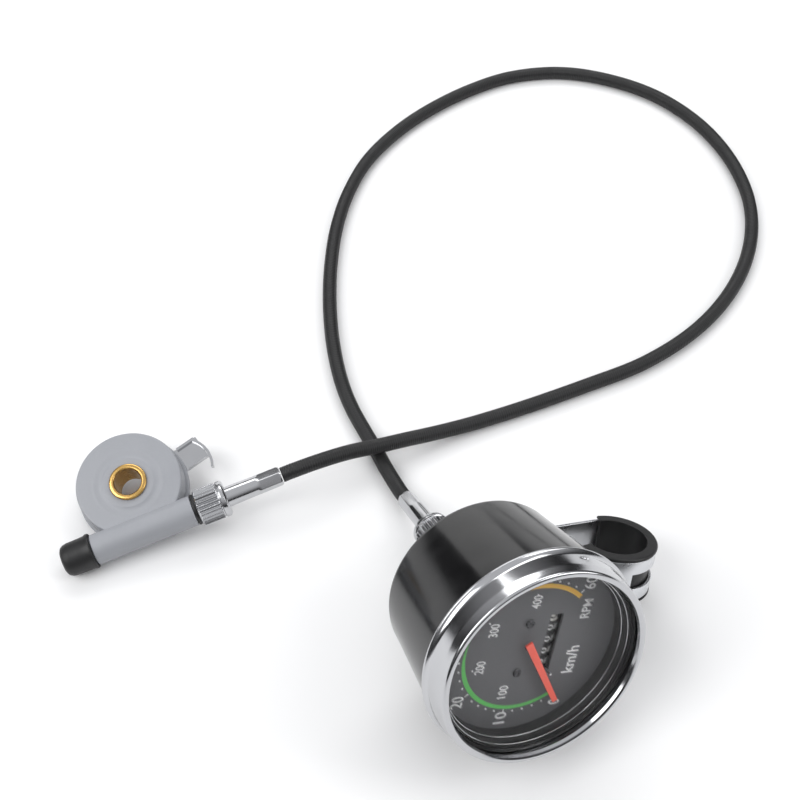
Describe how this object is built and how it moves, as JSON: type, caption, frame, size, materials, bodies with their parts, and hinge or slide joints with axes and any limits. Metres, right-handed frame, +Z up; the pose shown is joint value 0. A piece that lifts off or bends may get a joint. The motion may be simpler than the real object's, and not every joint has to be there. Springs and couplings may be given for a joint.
{
  "type": "cable-driven bicycle speedometer",
  "caption": "Round dial speedometer and odometer on a handlebar clamp, driven from a wheel-axle gear unit through a flexible cable.",
  "frame": {"origin": "on the resting plane, below the middle of the gauge head and drive unit (cable left out)", "axes": "+Z up from the resting plane, +X towards the gauge head, +Y away from the dial's front"},
  "size_m": [0.2863, 0.3614, 0.0818],
  "materials": {
    "case_black": "gloss moulded",
    "chrome_trim": "polished plate",
    "clear_lens": "clear",
    "black_rubber": "matt",
    "black_plastic": "satin moulded",
    "dial_grey": "matt enamel",
    "needle_orange": "matt enamel",
    "dark_steel": "blackened",
    "zinc_steel": "zinc plated",
    "movement_brass": "satin",
    "satin_aluminium": "satin",
    "grey_plastic": "moulded, metallic grey",
    "white_nylon": "natural nylon"
  },
  "bodies": {
    "base": {"casing": "case_black", "bezel_ring": "chrome_trim", "lens": "clear_lens", "lens_gasket": "black_rubber", "dial_ring": "black_plastic", "dial_plate": "dial_grey", "dial_screw_left": "dark_steel", "dial_screw_right": "dark_steel", "pointer_stop": "zinc_steel", "movement_base": "movement_brass", "movement_bridge": "movement_brass", "dial_pillar_left": "movement_brass", "dial_pillar_right": "movement_brass", "hairspring": "movement_brass", "cross_cheek_left": "movement_brass", "cross_cheek_right": "movement_brass", "odometer_shaft": "zinc_steel", "odometer_cheek_left": "movement_brass", "odometer_cheek_right": "movement_brass", "mounting_bracket": "zinc_steel", "clamp_band": "satin_aluminium", "clamp_liner": "black_rubber", "clamp_nut": "zinc_steel", "rear_connector": "satin_aluminium", "bracket_nut": "zinc_steel", "gauge_ferrule": "satin_aluminium", "drive_housing": "grey_plastic", "axle_bush": "movement_brass", "pinion_bearing_left": "movement_brass", "pinion_bearing_right": "movement_brass", "tube_washer": "black_rubber", "end_cap": "black_rubber", "drive_ferrule": "satin_aluminium", "cable_sheath": "black_rubber"},
    "rotor": {"rotor": "grey_plastic", "rotor_gear": "white_nylon", "spoke_fork": "chrome_trim", "fork_rivet_left": "zinc_steel", "fork_rivet_right": "zinc_steel"},
    "pinion": {"pinion": "zinc_steel", "drive_core_key": "zinc_steel"},
    "spindle": {"input_spindle": "zinc_steel", "magnet": "dark_steel", "gauge_core_key": "zinc_steel"},
    "cross_shaft": {"cross_shaft": "zinc_steel", "cross_wheel": "movement_brass"},
    "lay_shaft": {"lay_shaft": "zinc_steel", "lay_wheel": "movement_brass"},
    "units_wheel": {"odometer_gear": "white_nylon", "number_wheel_1": "white_nylon"},
    "tens_wheel": {"number_wheel_2": "black_plastic"},
    "hundreds_wheel": {"number_wheel_3": "black_plastic"},
    "thousands_wheel": {"number_wheel_4": "black_plastic"},
    "ten_thousands_wheel": {"number_wheel_5": "black_plastic"},
    "pointer": {"pointer": "needle_orange", "pointer_spindle": "zinc_steel", "drag_cup": "satin_aluminium"},
    "gauge_nut": {"gauge_coupling_nut": "chrome_trim"},
    "drive_nut": {"drive_coupling_nut": "chrome_trim"},
    "clamp_screw": {"clamp_screw": "zinc_steel"}
  },
  "joints": [
    {"name": "rotor_spin", "type": "hinge", "parent": "base", "child": "rotor", "pos_m": [-0.08371, 0.04365, 0.01212], "axis": [-0.0137, -0.2608, 0.9653], "continuous": true},
    {"name": "pinion_spin", "type": "hinge", "parent": "base", "child": "pinion", "pos_m": [-0.07661, 0.02683, 0.00934], "axis": [0.9219, 0.3706, 0.1132], "continuous": true},
    {"name": "spindle_spin", "type": "hinge", "parent": "base", "child": "spindle", "pos_m": [0.04331, -0.00838, 0.03141], "axis": [0.4025, -0.8217, 0.4035], "continuous": true},
    {"name": "cross_shaft_spin", "type": "hinge", "parent": "base", "child": "cross_shaft", "pos_m": [0.05326, -0.00746, 0.03574], "axis": [0.1906, 0.5064, 0.841], "continuous": true},
    {"name": "lay_shaft_spin", "type": "hinge", "parent": "base", "child": "lay_shaft", "pos_m": [0.06579, -0.00914, 0.04461], "axis": [0.4025, -0.8217, 0.4035], "continuous": true},
    {"name": "units_wheel_spin", "type": "hinge", "parent": "base", "child": "units_wheel", "pos_m": [0.06143, -0.02773, 0.04133], "axis": [0.1906, 0.5064, 0.841], "continuous": true},
    {"name": "tens_wheel_spin", "type": "hinge", "parent": "base", "child": "tens_wheel", "pos_m": [0.06143, -0.02773, 0.04133], "axis": [0.1906, 0.5064, 0.841], "continuous": true},
    {"name": "hundreds_wheel_spin", "type": "hinge", "parent": "base", "child": "hundreds_wheel", "pos_m": [0.06143, -0.02773, 0.04133], "axis": [0.1906, 0.5064, 0.841], "continuous": true},
    {"name": "thousands_wheel_spin", "type": "hinge", "parent": "base", "child": "thousands_wheel", "pos_m": [0.06143, -0.02773, 0.04133], "axis": [0.1906, 0.5064, 0.841], "continuous": true},
    {"name": "ten_thousands_wheel_spin", "type": "hinge", "parent": "base", "child": "ten_thousands_wheel", "pos_m": [0.06143, -0.02773, 0.04133], "axis": [0.1906, 0.5064, 0.841], "continuous": true},
    {"name": "pointer_sweep", "type": "hinge", "parent": "base", "child": "pointer", "pos_m": [0.05338, -0.02892, 0.0415], "axis": [-0.4025, 0.8217, -0.4035], "range_deg": [0, 251], "stiffness_Nm_per_rad": 0.0002},
    {"name": "gauge_nut_turn", "type": "hinge", "parent": "base", "child": "gauge_nut", "pos_m": [0.02963, 0.01956, 0.01769], "axis": [0.4025, -0.8217, 0.4035], "range_deg": [0, 360]},
    {"name": "drive_nut_turn", "type": "hinge", "parent": "base", "child": "drive_nut", "pos_m": [-0.05264, 0.03647, 0.01228], "axis": [0.9219, 0.3706, 0.1132], "range_deg": [0, 360]},
    {"name": "clamp_screw_turn", "type": "hinge", "parent": "base", "child": "clamp_screw", "pos_m": [0.0663, 0.01201, 0.01777], "axis": [0.4025, -0.8217, 0.4035], "range_deg": [0, 360]}
  ],
  "couplings": [
    {"joint": "pinion_spin", "follows": "rotor_spin", "ratio": -5},
    {"joint": "spindle_spin", "follows": "rotor_spin", "ratio": -5},
    {"joint": "cross_shaft_spin", "follows": "rotor_spin", "ratio": 0.38462},
    {"joint": "lay_shaft_spin", "follows": "rotor_spin", "ratio": 0.029586},
    {"joint": "units_wheel_spin", "follows": "rotor_spin", "ratio": 0.0022758},
    {"joint": "tens_wheel_spin", "follows": "rotor_spin", "ratio": 0.00022758},
    {"joint": "hundreds_wheel_spin", "follows": "rotor_spin", "ratio": 0.000022758},
    {"joint": "thousands_wheel_spin", "follows": "rotor_spin", "ratio": 0.0000022758},
    {"joint": "ten_thousands_wheel_spin", "follows": "rotor_spin", "ratio": 0.00000022758}
  ]
}
